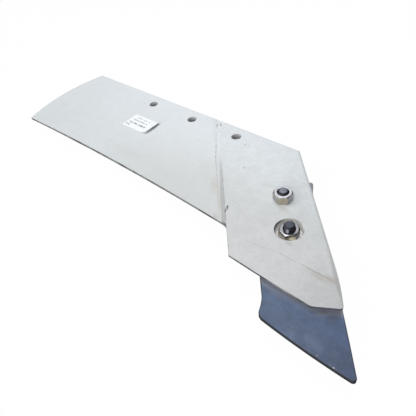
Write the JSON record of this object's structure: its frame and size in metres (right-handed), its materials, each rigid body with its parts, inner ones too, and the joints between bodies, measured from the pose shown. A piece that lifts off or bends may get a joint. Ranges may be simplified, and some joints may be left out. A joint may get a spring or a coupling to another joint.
{
  "type": "plough share with bolted chisel",
  "caption": "Share for a mouldboard plough: long steel blade with a joggled nose and a bolted chisel point.",
  "frame": {"origin": "centre of the middle share-bolt hole, on the blade's back face", "axes": "+X along the top edge from the heel to the nose, +Y towards the top edge, +Z out of the back face"},
  "size_m": [0.5887, 0.209, 0.0419],
  "materials": {
    "share_paint": "pale grey primer paint, satin, slightly stained",
    "chisel_paint": "blue-grey paint, satin",
    "bolt_steel": "black oxide steel",
    "nut_steel": "bright zinc plate, slightly dulled",
    "label_film": "white sticker, matt"
  },
  "bodies": {
    "root": {"share_body": "share_paint", "chisel": "chisel_paint", "upper_bolt": "bolt_steel", "lower_bolt": "bolt_steel", "upper_nut": "nut_steel", "lower_nut": "nut_steel", "label": "label_film"}
  },
  "joints": []
}
